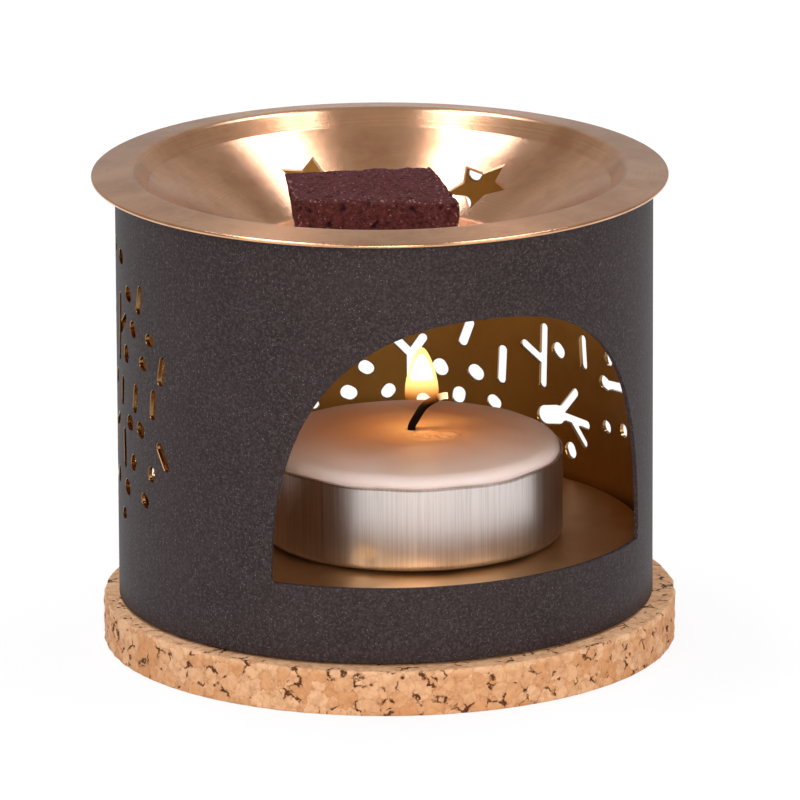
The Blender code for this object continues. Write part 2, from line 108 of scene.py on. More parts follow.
def turned(profile, columns):
    """A profile of (radius, height) turned round Z: point (k, j) = (r_k cos a_j, r_k sin a_j, z_k).

    The angle a_j is 2 pi j / columns. The profile goes up along the outside of the piece.
    """
    angles = np.arange(columns) * math.tau / columns
    rows = np.stack([
        profile[:, :1] * np.cos(angles),
        profile[:, :1] * np.sin(angles),
        np.repeat(profile[:, 1:], columns, axis=1),
    ], axis=-1)
    return rows.reshape(-1, 3), ring_quads(len(profile), columns)


def welded(points, faces):
    """Merges points that coincide to a micrometre, and drops the corners and faces this closes.

    Returns which points stay, and a list of face arrays for each group of faces that came in.
    """
    _, first, number = np.unique(np.round(points * 1e6), axis=0, return_index=True,
                                 return_inverse=True)
    kept = []
    for group in faces:
        group = number.ravel()[group]
        double = group == np.roll(group, -1, axis=1)
        kept.append([group[~double.any(axis=1)]])
        if group.shape[1] == 4:
            once = double.sum(axis=1) == 1
            kept[-1].append(group[once][~double[once]].reshape(-1, 3))
    return first, kept


def new_piece(name, points, faces, finishes, marks=None):
    """A named mesh object at the origin, shaded smooth up to bends of 32 degrees.

    Faces are arrays of corner numbers, one for each finish. Marks are numbers kept for each point.
    """
    first, kept = welded(points, faces)
    groups = [(slot, group) for slot, arrays in enumerate(kept) for group in arrays]
    corners = np.concatenate([group.ravel() for _, group in groups]).astype(np.int32)
    sizes = np.concatenate([np.full(len(group), group.shape[1]) for _, group in groups])
    slots = np.concatenate([np.full(len(group), slot) for slot, group in groups])
    mesh = bpy.data.meshes.new(name)
    mesh.vertices.add(len(first))
    mesh.vertices.foreach_set("co", points[first].astype(np.float32).ravel())
    mesh.loops.add(len(corners))
    mesh.loops.foreach_set("vertex_index", corners)
    mesh.polygons.add(len(sizes))
    mesh.polygons.foreach_set("loop_start", (np.cumsum(sizes) - sizes).astype(np.int32))
    mesh.polygons.foreach_set("material_index", slots.astype(np.int32))
    for finish in finishes:
        mesh.materials.append(finish)
    for mark, values in (marks or {}).items():
        layer = mesh.attributes.new(mark, "FLOAT", "POINT")
        layer.data.foreach_set("value", values[first].astype(np.float32))
    mesh.update(calc_edges=True)
    mesh.validate()
    mesh.shade_smooth()
    mesh.set_sharp_from_angle(angle=math.radians(32))
    piece = bpy.data.objects.new(name, mesh)
    bpy.context.scene.collection.objects.link(piece)
    return piece


def grains(points, size, seed):
    """Worley's cells: space is cut into cubes of this size, each with one point thrown into it.

    Returns a random number from 0 to 1 that belongs to the nearest of these points.
    """
    mixer = np.array([[127.1, 269.5, 113.5, 41.3], [311.7, 183.3, 271.9, 289.1],
                      [74.7, 246.1, 124.6, 97.7]])
    places = points / size
    near = np.full(len(points), 9.0)
    mark = np.zeros(len(points))
    for shift in np.ndindex(3, 3, 3):
        cube = np.floor(places) + np.array(shift) - 1.0
        chance = np.sin(cube @ mixer + seed) * 43758.5453
        chance -= np.floor(chance)
        distance = np.linalg.norm(cube + chance[:, :3] - places, axis=1)
        mark = np.where(distance < near, chance[:, 3], mark)
        near = np.minimum(near, distance)
    return mark


def swell(points, length, seed, waves=20):
    """Smooth uneven height from about -1 to 1: the mean of plane waves in random directions.

    Each wave is about this long, and starts at a random phase.
    """
    chance = np.random.default_rng(seed)
    directions = chance.normal(size=(3, waves))
    directions *= math.tau / length / np.linalg.norm(directions, axis=0)
    directions *= chance.uniform(0.7, 1.4, waves)
    phases = chance.uniform(0.0, math.tau, waves)
    return np.sin(points @ directions + phases).sum(axis=1) * (0.8 / math.sqrt(waves))


def linear(hex_colour):
    """An sRGB hex colour as linear red, green, blue and alpha."""
    channels = np.array([int(hex_colour[k:k + 2], 16) for k in (1, 3, 5)]) / 255.0
    curve = np.where(channels > 0.04045, ((channels + 0.055) / 1.055) ** 2.4, channels / 12.92)
    return (*curve.tolist(), 1.0)


def add(tree, kind, sockets, **options):
    """Adds a shader node. Options are its own settings, sockets its inputs by name or in order.

    A node or an output given as a value is linked, a node by the first of its outputs in use. A
    hex colour is turned linear, and any other value is set on the input.
    """
    made = tree.nodes.new("ShaderNode" + kind)
    for option, value in options.items():
        setattr(made, option, value)
    if isinstance(sockets, tuple):
        sockets = dict(enumerate(sockets))
    for key, value in sockets.items():
        if isinstance(value, bpy.types.Node):
            value = next(output for output in value.outputs if output.enabled)
        if isinstance(value, bpy.types.NodeSocket):
            tree.links.new(value, made.inputs[key])
        else:
            made.inputs[key].default_value = linear(value) if isinstance(value, str) else value
    return made


def blank_finish(name):
    """A material with an empty node tree, that tree, and the places of the object's own points."""
    finish = bpy.data.materials.new(name)
    finish.use_nodes = True
    tree = finish.node_tree
    tree.nodes.clear()
    return finish, tree, add(tree, "TexCoord", {}).outputs["Object"]


def layered(tree, base, *layers):
    """A colour under layers of (share, colour): (1 - share) x what lies below + share x colour."""
    for share, colour in layers:
        base = add(tree, "Mix", {0: share, 6: base, 7: colour}, data_type="RGBA")
    return base


def finished(finish, tree, relief, surface):
    """The finish with its surface's settings, and a relief given as (height, strength, depth)."""
    height, strength, depth = relief
    bump = add(tree, "Bump", {"Height": height, "Strength": strength, "Distance": depth})
    shader = add(tree, "BsdfPrincipled", {**surface, "Normal": bump})
    add(tree, "OutputMaterial", {"Surface": shader})
    return finish


def pressed_cork():
    """Cork agglomerate, sawn: dry and matte, each granule its own tan, with a reddish outline.

    Brown bark fills short clefts 0.1 to 0.4 mm wide, and the cut cells give a grain of 0.25 mm.
    """
    finish, tree, place = blank_finish("pressed_cork")
    wobble = add(tree, "TexNoise", {"Vector": place, "Scale": 1300.0, "Detail": 3.0})
    warped = add(tree, "MixRGB", (0.0016, place, wobble.outputs["Color"]), blend_type="ADD")
    cells = {"Vector": warped, "Scale": 1.0 / GRANULE}
    granule = add(tree, "TexVoronoi", cells)
    border = add(tree, "TexVoronoi", cells, feature="DISTANCE_TO_EDGE")
    # Painted light: granules on the top face and the top of the side are painted paler, as if lit
    # from above.
    pale = add(tree, "Attribute", {}, attribute_name="painted_top_light").outputs["Fac"]
    chance = add(tree, "SeparateColor", (granule.outputs["Color"],))
    tone = add(tree, "Math", (pale, 0.5, chance), operation="MULTIPLY_ADD", use_clamp=True)
    mottle = add(tree, "TexNoise", {"Vector": place, "Scale": 900.0, "Detail": 4.0,
                                    "Roughness": 0.65})
    warm = add(tree, "MapRange", (mottle, 0.42, 0.75, 0.0, 0.55))
    outline = add(tree, "MapRange", (border, 0.01, 0.06, 0.35, 0.0))
    where = add(tree, "TexNoise", {"Vector": place, "Scale": 560.0, "Detail": 2.0})
    opened = add(tree, "MapRange", (where, 0.56, 0.62))
    cleft = add(tree, "MapRange", (border, 0.03, 0.11, 1.0, 0.0))
    bark = add(tree, "Math", (cleft, opened), operation="MULTIPLY")
    base = layered(tree, "#cb9668", (tone, "#deb48c"), (warm, "#9d6436"),
                   (outline, "#985e38"), (bark, "#54301a"))
    pores = add(tree, "TexNoise", {"Vector": place, "Scale": 4000.0, "Detail": 2.0})
    height = add(tree, "Math", (bark, -3.0, pores), operation="MULTIPLY_ADD")
    return finished(finish, tree, (height, 0.4, 0.00012), {
        "Base Color": base, "Roughness": 0.92, "IOR": 1.40, "Specular IOR Level": 0.25})


def cork_disc():
    """A turned disc whose side bulges a little, unevenly, where its granules were cut."""
    path = divided(rounded([
        (0.0, 0.0, 0.0),
        (CORK_RADIUS, 0.0, CORK_EDGE),
        (CORK_RADIUS, CORK_THICKNESS, CORK_EDGE),
        (0.0, CORK_THICKNESS, 0.0),
    ], 5), 0.0011)
    side = np.linspace(CORK_EDGE, CORK_THICKNESS - CORK_EDGE, CORK_ROWS)
    low = path[path[:, 1] < CORK_EDGE - 1e-9]
    high = path[path[:, 1] > CORK_THICKNESS - CORK_EDGE + 1e-9]
    profile = np.vstack([low, np.stack([np.full(CORK_ROWS, CORK_RADIUS), side], axis=1), high])
    points, quads = turned(profile, CORK_COLUMNS)
    outward = unit_rows(points * (1.0, 1.0, 0.0))
    on_side = np.clip((np.hypot(points[:, 0], points[:, 1]) - CORK_RADIUS + CORK_EDGE) / CORK_EDGE,
                      0.0, 1.0)
    lift = swell(points, CORK_SWELL, 6) + 0.5 * swell(points, CORK_SWELL / 2.0, 5) - 0.8
    # Painted light: marks the top face and the side's top 0.3 to 0.9 mm, to be painted paler.
    painted_top_light = np.clip((points[:, 2] - CORK_THICKNESS + PALE_BAND) / PALE_FADE, 0.0, 1.0)
    points = points + outward * (CORK_RELIEF * lift * on_side)[:, None]
    return new_piece("cork_base_granules", points + CORK_SHIFT, [quads], [pressed_cork()],
                     {"painted_top_light": painted_top_light})


cork = cork_disc()
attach(cork, "coaster")
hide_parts("cork_base")


# Housing: thin steel sheet, laser cut, rolled to a tube and powder coated, with gold lacquer
# sprayed inside. The pattern's cut edges catch the lacquer, and the window's are coated dark.

SEAT_GAP = 0.0003
TUBE_OUTER = 0.035
TUBE_SHEET = 0.0006
TUBE_FOOT = CORK_THICKNESS + SEAT_GAP
TUBE_HEIGHT = 0.05568
TUBE_SEAM = 0.037
TUBE_COLUMNS = 240
TUBE_ROWS = 50
EDGE_BREAK = 0.00007
WINDOW_WIDTH = 0.0577
WINDOW_SILL = 0.0100
WINDOW_HEIGHT = 0.0350
WINDOW_ROUNDNESS = 2.3
WINDOW_CORNER = 0.0006
PATTERN_MARGIN = 0.0166
PATTERN_MIDDLE = math.pi * TUBE_OUTER
PATTERN_WIDTH = math.tau * TUBE_OUTER - WINDOW_WIDTH - 2.0 * PATTERN_MARGIN
PATTERN_FOOT = 0.0095
PATTERN_TOP = 0.00568
PATTERN_HEIGHT = TUBE_HEIGHT - PATTERN_TOP - PATTERN_FOOT
PATTERN_ROUNDNESS = 3.4
PATTERN_ROW = 0.0044
PATTERN_STEP = 0.0051
PATTERN_DRIFT = 0.0008
PATTERN_WEB = 0.0009
PATTERN_SEED = 5
DOT_WIDTH = 0.0018
DOT_STRETCH = 0.0005
DOT_SHARES = (0.85, 1.1)
DASH_WIDTH = 0.0013
DASH_LENGTH = 0.0040
DASH_SHARE = 0.25
DASH_LEAN = 0.25
TWIG_GRID = 0.0001
TWIG_WIDTH = 0.0012
CORAL_WIDTH = 0.0026
TWIG_PITCH = 0.0403
TWIG_SHIFT = 0.0037
TWIG_STAGGER = 0.0024


def twig_strokes(arc, foot):
    """One group of strokes: a forked twig, a branching coral, a sprig, dashes and a fork.

    Each is (start, end, width). The numbers are steps of the twigs' grid.
    """
    strokes = [
        (0, 105, 2, 182, TWIG_WIDTH), (1, 135, -30, 155, TWIG_WIDTH),
        (4, 62, 26, 66, CORAL_WIDTH), (26, 66, 58, 102, TWIG_WIDTH),
        (26, 66, 82, 62, TWIG_WIDTH), (50, 64, 77, 36, TWIG_WIDTH),
        (118, 130, 126, 128, DOT_WIDTH), (126, 128, 168, 133, TWIG_WIDTH),
        (-66, 102, -64, 142, DASH_WIDTH), (76, 144, 73, 178, DASH_WIDTH),
        (-194, 98, -194, 127, TWIG_WIDTH), (-194, 127, -213, 146, TWIG_WIDTH),
        (-194, 127, -178, 150, TWIG_WIDTH), (-40, 240, -46, 320, TWIG_WIDTH),
        (-43, 275, -73, 298, TWIG_WIDTH),
    ]
    return [((arc - x0 * TWIG_GRID, foot + y0 * TWIG_GRID),
             (arc - x1 * TWIG_GRID, foot + y1 * TWIG_GRID), width)
            for x0, y0, x1, y1, width in strokes]


def stroke_gap(one, two):
    """Least sheet left between two strokes, from nine points along the middle line of each."""
    share = np.linspace(0.0, 1.0, 9)[:, None]
    a = np.array(one[0]) * (1.0 - share) + np.array(one[1]) * share
    b = np.array(two[0]) * (1.0 - share) + np.array(two[1]) * share
    apart = np.linalg.norm(a[:, None, :] - b[None, :, :], axis=2).min()
    return apart - (one[2] + two[2]) / 2.0


def in_field(arc, height):
    """Whether a point lies in the pattern's field, a superellipse round the middle of the back."""
    across = abs(arc - PATTERN_MIDDLE) / (PATTERN_WIDTH / 2.0)
    up = abs(height - PATTERN_FOOT - PATTERN_HEIGHT / 2.0) / (PATTERN_HEIGHT / 2.0)
    return across ** PATTERN_ROUNDNESS + up ** PATTERN_ROUNDNESS < 1.0


def pattern_strokes():
    """Groups of twigs, then dots and dashes in staggered rows, each a little off its place.

    A mark that would leave too little sheet beside another, or lies outside the field, is left out.
    """
    groups = int(PATTERN_WIDTH / TWIG_PITCH)
    strokes = []
    for k in range(groups):
        arc = PATTERN_MIDDLE + TWIG_SHIFT + (k - (groups - 1) / 2.0) * TWIG_PITCH
        for twig in twig_strokes(arc, PATTERN_FOOT + (k % 2) * TWIG_STAGGER):
            if in_field(*twig[0]) and in_field(*twig[1]):
                strokes.append(twig)
    chance = random.Random(PATTERN_SEED)
    rows = int(PATTERN_HEIGHT / PATTERN_ROW)
    columns = int(PATTERN_WIDTH / PATTERN_STEP)
    for row in range(rows):
        for column in range(columns):
            arc = PATTERN_MIDDLE
            arc += (column + 0.5 * (row % 2) - (columns - 0.5) / 2.0) * PATTERN_STEP
            height = PATTERN_FOOT + PATTERN_HEIGHT / 2.0 + (row - (rows - 1) / 2.0) * PATTERN_ROW
            arc += chance.uniform(-PATTERN_DRIFT, PATTERN_DRIFT)
            height += chance.uniform(-PATTERN_DRIFT, PATTERN_DRIFT)
            if chance.random() < DASH_SHARE:
                length, lean = DASH_LENGTH - DASH_WIDTH, chance.gauss(0.0, DASH_LEAN)
                width = DASH_WIDTH
            else:
                length, lean = DOT_STRETCH, chance.uniform(0.0, math.pi)
                width = DOT_WIDTH * chance.uniform(*DOT_SHARES)
            across, up = math.sin(lean) * length / 2.0, math.cos(lean) * length / 2.0
            mark = (arc - across, height - up), (arc + across, height + up), width
            clear = all(stroke_gap(mark, other) > PATTERN_WEB for other in strokes)
            if clear and in_field(*mark[0]) and in_field(*mark[1]):
                strokes.append(mark)
    return strokes


def slot_outline(start, end, width, end_points=11):
    """Outline of a slot with round ends: a half circle about each end of its middle line."""
    start, end = np.array(start), np.array(end)
    facing = math.atan2(*(end - start)[::-1])
    turns = facing + math.pi * (np.linspace(0.0, 1.0, end_points) - 0.5)
    ring = np.stack([np.cos(turns), np.sin(turns)], axis=1) * (width / 2.0 + EDGE_BREAK)
    return np.vstack([end + ring, start - ring])


def window_outline():
    """Outline of the window: a level sill, and half a superellipse for its crown.

    The crown is |x|^n + (y / height)^n = 1 in shares of the half width. Its points are spread
    by |x| = cos(t)^(2/n), and the whole is moved outwards by the broken edge.
    """
    turn = np.linspace(0.0, math.pi, 121)
    power = 2.0 / WINDOW_ROUNDNESS
    across = np.sign(np.cos(turn)) * np.abs(np.cos(turn)) ** power * WINDOW_WIDTH / 2.0
    up = np.maximum(np.sin(turn), 0.0) ** power * WINDOW_HEIGHT
    crown = np.stack([across, up], axis=1)[(up > WINDOW_CORNER * 1.5)]
    turn = np.linspace(-math.pi / 2.0, 0.0, 7)
    corner = np.stack([np.cos(turn), np.sin(turn)], axis=1) * WINDOW_CORNER
    right = corner + (WINDOW_WIDTH / 2.0 - WINDOW_CORNER, WINDOW_CORNER)
    left = right[::-1] * (-1.0, 1.0)
    sill = np.stack([np.linspace(left[-1, 0], right[0, 0], 40)[1:-1], np.zeros(38)], axis=1)
    outline = np.vstack([right, crown, left, sill])
    side = np.roll(outline, -1, axis=0) - np.roll(outline, 1, axis=0)
    outward = unit_rows(np.stack([side[:, 1], -side[:, 0]], axis=1))
    return outline + outward * EDGE_BREAK + (math.tau * TUBE_OUTER, WINDOW_SILL)


def beyond(points, outline):
    """Distance of each point from a closed outline, and zero inside it by the even-odd rule."""
    start = outline
    side = np.roll(outline, -1, axis=0) - start
    away = points[:, None, :] - start
    share = np.clip((away * side).sum(axis=2) / (side ** 2).sum(axis=1), 0.0, 1.0)
    distance = np.linalg.norm(away - share[..., None] * side, axis=2).min(axis=1)
    passed = (away[..., 1] < 0.0) != (away[..., 1] < side[:, 1])
    rise = np.where(side[:, 1] == 0.0, 1.0, side[:, 1])
    crossing = away[..., 0] < away[..., 1] * side[:, 0] / rise
    inside = (passed & crossing).sum(axis=1) % 2 == 1
    return np.where(inside, 0.0, distance)


def pierced_sheet(across, up, holes, clearance):
    """Triangles of a flat sheet with holes, whose first and last columns meet once it is rolled.

    The points of the grid that lie clear of each hole are joined with the holes' outlines by
    Delaunay's rule, and what lies inside an outline is left out. Returns the points, the
    triangles, and the open edges with the sheet on their left, without those of the seam.
    """
    grid = np.stack(np.meshgrid(across, up), axis=-1).reshape(-1, 2)
    clear = np.ones(len(grid), dtype=bool)
    for outline in holes:
        low, high = outline.min(axis=0) - clearance, outline.max(axis=0) + clearance
        nearby = np.flatnonzero(((grid > low) & (grid < high)).all(axis=1))
        if len(nearby):
            clear[nearby] &= beyond(grid[nearby], outline) > clearance
    flat = np.vstack([grid[clear], *holes])
    ends = len(grid[clear]) + np.cumsum([len(outline) for outline in holes])
    loops = [list(range(end - len(outline), end)) for end, outline in zip(ends, holes)]
    made = delaunay_2d_cdt([Vector(point) for point in flat * 1000.0], [], loops, 0, 1e-5)
    flat = np.array([tuple(point) for point in made[0]]) / 1000.0
    triangles = np.array([corners for corners, inside in zip(made[2], made[5]) if not inside])
    a, b, c = (flat[triangles[:, k]] for k in range(3))
    area = (b - a)[:, 0] * (c - a)[:, 1] - (b - a)[:, 1] * (c - a)[:, 0]
    triangles = np.where(area[:, None] < 0.0, triangles[:, ::-1], triangles)
    triangles = triangles[np.abs(area) > 1e-13]
    edges = np.concatenate([triangles[:, [0, 1]], triangles[:, [1, 2]], triangles[:, [2, 0]]])
    total = len(flat)
    open_edges = edges[~np.isin(edges @ (total, 1), edges @ (1, total))]
    on_seam = np.zeros(len(open_edges), dtype=bool)
    for end in (across[0], across[-1]):
        on_seam |= (np.abs(flat[open_edges][..., 0] - end) < 1e-6).all(axis=1)
    return flat, triangles, open_edges[~on_seam]


def sheet_shell(flat, triangles, edges, placed, thickness, edge_break):
    """Both faces of a pierced sheet, with a wall along its open edges that is broken at each face.

    placed(flat, depth) puts flat points into space at a depth below the outer face. The wall's
    rings are moved into the hole, square to the edge, by the broken edge. Returns the points
    and the faces of the outer side, the inner side and the walls.
    """
    sides = flat[edges[:, 1]] - flat[edges[:, 0]]
    square = unit_rows(np.stack([sides[:, 1], -sides[:, 0]], axis=1))
    total = np.zeros_like(flat)
    count = np.zeros(len(flat))
    for k in range(2):
        np.add.at(total, edges[:, k], square)
        np.add.at(count, edges[:, k], 1.0)
    on_edge = np.flatnonzero(count)
    mitre = total[on_edge] * (count[on_edge] / (total[on_edge] ** 2).sum(axis=1))[:, None]
    ring = flat[on_edge] + mitre * edge_break
    number = np.zeros(len(flat), dtype=int)
    number[on_edge] = np.arange(len(on_edge))
    points = np.vstack([
        placed(flat, 0.0),
        placed(flat, thickness),
        placed(ring, edge_break),
        placed(ring, thickness - edge_break),
    ])
    n, m = len(flat), len(on_edge)
    rows = [edges, 2 * n + number[edges], 2 * n + m + number[edges], n + edges]
    walls = [np.hstack([near[:, ::-1], far]) for near, far in zip(rows, rows[1:])]
    return points, triangles, triangles[:, ::-1] + n, np.concatenate(walls)


def powder_coat():
    """Charcoal powder coat, sprayed and baked: matte, a warm near-black, with a fine orange peel.

    It is mottled in spots 0.3 to 0.6 mm wide. Grains of the powder shine faintly as specks
    0.1 mm wide, and the rolled sheet's faint lines run round the tube.
    """
    finish, tree, place = blank_finish("charcoal_powder_coat")
    cloud = add(tree, "TexNoise", {"Vector": place, "Scale": 130.0, "Detail": 3.0})
    tone = add(tree, "MapRange", (cloud, 0.3, 0.7))
    spots = add(tree, "TexNoise", {"Vector": place, "Scale": 2600.0, "Detail": 2.0,
                                   "Roughness": 0.6})
    spot = add(tree, "MapRange", (spots, 0.44, 0.68, 0.0, 0.8))
    around = add(tree, "Mapping", {"Vector": place, "Scale": (60.0, 60.0, 2300.0)})
    lines = add(tree, "TexNoise", {"Vector": around, "Scale": 1.0, "Detail": 3.0,
                                   "Roughness": 0.6})
    streak = add(tree, "MapRange", (lines, 0.35, 0.75, 0.0, 0.22))
    grit = add(tree, "TexVoronoi", {"Vector": place, "Scale": 6000.0})
    bright = add(tree, "SeparateColor", (grit.outputs["Color"],))
    chosen = add(tree, "MapRange", (bright, 0.86, 1.0, 0.0, 0.95))
    core = add(tree, "MapRange", (grit, 0.15, 0.45, 1.0, 0.0))
    speck = add(tree, "Math", (chosen, core), operation="MULTIPLY")
    base = layered(tree, "#241a1b", (tone, "#2c2122"), (spot, "#433a3b"), (streak, "#332b2b"),
                   (speck, "#857d7d"))
    peel = add(tree, "TexNoise", {"Vector": place, "Scale": 2200.0, "Detail": 2.0})
    return finished(finish, tree, (peel, 0.25, 0.0001), {
        "Base Color": base, "Roughness": 0.55, "IOR": 1.45, "Specular IOR Level": 0.22})


def lacquered_metal(name, tone, worn_tone, roughness):
    """Gold lacquer, or the plating of a cut edge: satin, and deeper where it mirrors itself.

    Clouds of a thinner layer are 5 mm wide, and the layer's grain is about 0.3 mm.
    """
    finish, tree, place = blank_finish(name)
    cloud = add(tree, "TexNoise", {"Vector": place, "Scale": 200.0, "Detail": 4.0})
    grain = add(tree, "TexNoise", {"Vector": place, "Scale": 3200.0, "Detail": 2.0})
    gloss = add(tree, "MapRange", (cloud, 0.3, 0.7, roughness - 0.05, roughness + 0.07))
    return finished(finish, tree, (grain, 0.12, 0.0001), {
        "Base Color": layered(tree, tone, (cloud, worn_tone)), "Metallic": 1.0,
        "Roughness": gloss})


def on_tube(flat, depth):
    """Rolls a flat point of arc length and height to the tube: its azimuth is arc / radius."""
    azimuth = flat[:, 0] / TUBE_OUTER
    radius = TUBE_OUTER - depth
    return np.stack([radius * np.sin(azimuth), -radius * np.cos(azimuth),
                     flat[:, 1] + TUBE_FOOT], axis=1)


def housing_tube():
    """The rolled and pierced tube, seamed in the plain sheet beside the window."""
    holes = [slot_outline(*stroke) for stroke in pattern_strokes()] + [window_outline()]
    arcs = TUBE_SEAM + np.linspace(0.0, math.tau * TUBE_OUTER, TUBE_COLUMNS + 1)
    heights = np.linspace(EDGE_BREAK, TUBE_HEIGHT - EDGE_BREAK, TUBE_ROWS + 1)
    flat, triangles, edges = pierced_sheet(arcs, heights, holes, clearance=0.00035)
    points, outside, inside, walls = sheet_shell(flat, triangles, edges, on_tube, TUBE_SHEET,
                                                 EDGE_BREAK)
    by_hole = np.abs(flat[edges[:, 0], 0] - PATTERN_MIDDLE) < PATTERN_WIDTH / 2.0
    by_hole = np.tile(by_hole, len(walls) // len(edges))
    finishes = [powder_coat(),
                lacquered_metal("gold_lacquer_inside_tube", "#d4aa5e", "#c0944c", 0.42),
                lacquered_metal("gold_lacquer_on_cut_edge", "#b48c5c", "#664828", 0.14)]
    faces = [outside, inside, walls[by_hole], walls[~by_hole]]
    return new_piece("housing_tube", points, faces, finishes + finishes[:1])


housing = housing_tube()
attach(housing, "burner")
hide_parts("housing")


# Floor pan: pressed from thin steel and lacquered gold, pushed up into the tube so that its
# skirt stands on the cork and its flat top carries the tealight just below the window's sill.

PAN_HEIGHT = 0.0082
PAN_SHEET = 0.0006
PAN_BEND = 0.0016
PAN_RADIUS = TUBE_OUTER - TUBE_SHEET - SEAT_GAP


def sheet_profile(path, thickness):
    """Outline of a bent sheet: the path, and back along it moved square to itself, to its left."""
    along = unit_rows(np.diff(path, axis=0))
    square = np.stack([-along[:, 1], along[:, 0]], axis=1)
    before = np.vstack([square[:1], square])
    after = np.vstack([square, square[-1:]])
    mitre = before + after
    mitre /= np.sum(mitre * after, axis=1)[:, None]
    return np.vstack([path, (path + mitre * thickness)[::-1]])


def pan():
    """The pan turned from its profile, the underside first."""
    path = rounded([
        (0.0, PAN_HEIGHT, 0.0),
        (PAN_RADIUS, PAN_HEIGHT, PAN_BEND),
        (PAN_RADIUS, 0.0, 0.0),
    ], 10)
    profile = divided(sheet_profile(path, -PAN_SHEET)[::-1], 0.0012)
    points, quads = turned(profile, TUBE_COLUMNS)
    points[:, 2] += TUBE_FOOT
    lacquer = lacquered_metal("gold_lacquer_on_floor_pan", "#dbb486", "#c9a272", 0.40)
    return new_piece("floor_pan_pressed", points, [quads], [lacquer])


floor_pan = pan()
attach(floor_pan, "burner")
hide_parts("floor_pan")


# Bowl: steel sheet spun over a former and plated the colour of copper, with two pairs of stars
# punched through its wall. Its flange hangs on the tube's top edge.

DISH_RIM = 0.0374
DISH_SHEET = 0.0005
DISH_LIP = 0.0002
DISH_NECK = 0.0301
DISH_WALL_RUN = 0.0020
DISH_WALL_DROP = 0.0022
DISH_FLANGE_RISE = 0.00075
DISH_SHOULDER = 0.0012
DISH_DEPTH = 0.0095
DISH_FLOOR = 0.0165
DISH_FLOOR_BEND = 0.0025
DISH_SPOT = np.array((-0.0005, 0.0002, 0.062445))
STAR_SPREAD = math.radians(60.0)
STAR_RADIUS = 0.0048
STAR_INNER = 0.52
STAR_FOOT = 0.0014
PUNCHED_BREAK = 0.00018
STAR_RING_TURN = math.radians(31.4)
STAR_TILT = math.radians(37.6)

dish_path = divided(rounded([
    (0.0, -DISH_DEPTH, 0.0),
    (DISH_FLOOR, -DISH_DEPTH, DISH_FLOOR_BEND),
    (DISH_NECK, DISH_FLANGE_RISE - DISH_WALL_DROP, DISH_SHOULDER / 2.0),
    (DISH_NECK + DISH_WALL_RUN, DISH_FLANGE_RISE, DISH_SHOULDER),
    (DISH_RIM + DISH_LIP, 0.0, 0.0),
], 12), 0.0006)
dish_steps = np.linalg.norm(np.diff(dish_path, axis=0), axis=1)
dish_length = np.concatenate([[0.0], np.cumsum(dish_steps)])
dish_wall = np.array((DISH_NECK - DISH_FLOOR, DISH_DEPTH + DISH_FLANGE_RISE - DISH_WALL_DROP))
dish_wall /= np.linalg.norm(dish_wall)
star_middle = DISH_FLOOR + dish_wall[0] * (STAR_RADIUS + STAR_FOOT)


def on_dish(flat, depth):
    """Puts a point of (arc, path length) on the bowl, at a depth above its lower face.

    Arcs are measured at the radius of the stars' middles. The sheet lies under the profile, and
    its thickness shrinks to nothing over a half circle at the rim.
    """
    angle = flat[:, 0] / star_middle
    along = unit_rows(np.gradient(dish_path, dish_length, axis=0))
    radius, height, run, rise = (np.interp(flat[:, 1], dish_length, column)
                                 for column in (*dish_path.T, *along.T))
    half = DISH_SHEET / 2.0
    past = np.clip((flat[:, 1] - dish_length[-1] + half) / half, 0.0, 1.0)
    drop = half + np.sqrt(1.0 - past ** 2) * (half - depth)
    return np.stack([
        (radius + rise * drop) * np.sin(angle),
        -(radius + rise * drop) * np.cos(angle),
        height - run * drop,
    ], axis=1) + DISH_SPOT


def star_outline(k):
    """Outline of one star as (arc, path length): ten corners in turn at two radii.

    The flat star touches the bowl's cone at its middle. Each of its points slides square to it
    onto the cone, by rise x (radius - forward reach), found in four steps.
    """
    run, rise = dish_wall
    corner = np.arange(10)
    reach = STAR_RADIUS * np.where(corner % 2 == 0, 1.0, STAR_INNER)
    turn = STAR_TILT + corner * math.tau / 10.0
    sides = np.stack([reach * np.cos(turn), reach * np.sin(turn)], axis=1)
    beside, up = np.concatenate([np.linspace(sides[i - 1], sides[i], 9, endpoint=False)
                                 for i in range(10)]).T
    slide = np.zeros(len(beside))
    for _ in range(4):
        forward = star_middle + up * run - slide * rise
        radius = np.hypot(forward, beside)
        slide = rise * (radius - forward)
    azimuth = STAR_RING_TURN + math.pi / 2.0 + k // 2 * math.pi + k % 2 * STAR_SPREAD
    azimuth = azimuth + np.arctan2(beside, forward)
    on_wall = DISH_FLOOR + DISH_FLOOR_BEND
    middle = np.interp(on_wall, dish_path[:, 0], dish_length) + (star_middle - on_wall) / run
    return np.stack([azimuth * star_middle, middle + (radius - star_middle) / run], axis=1)


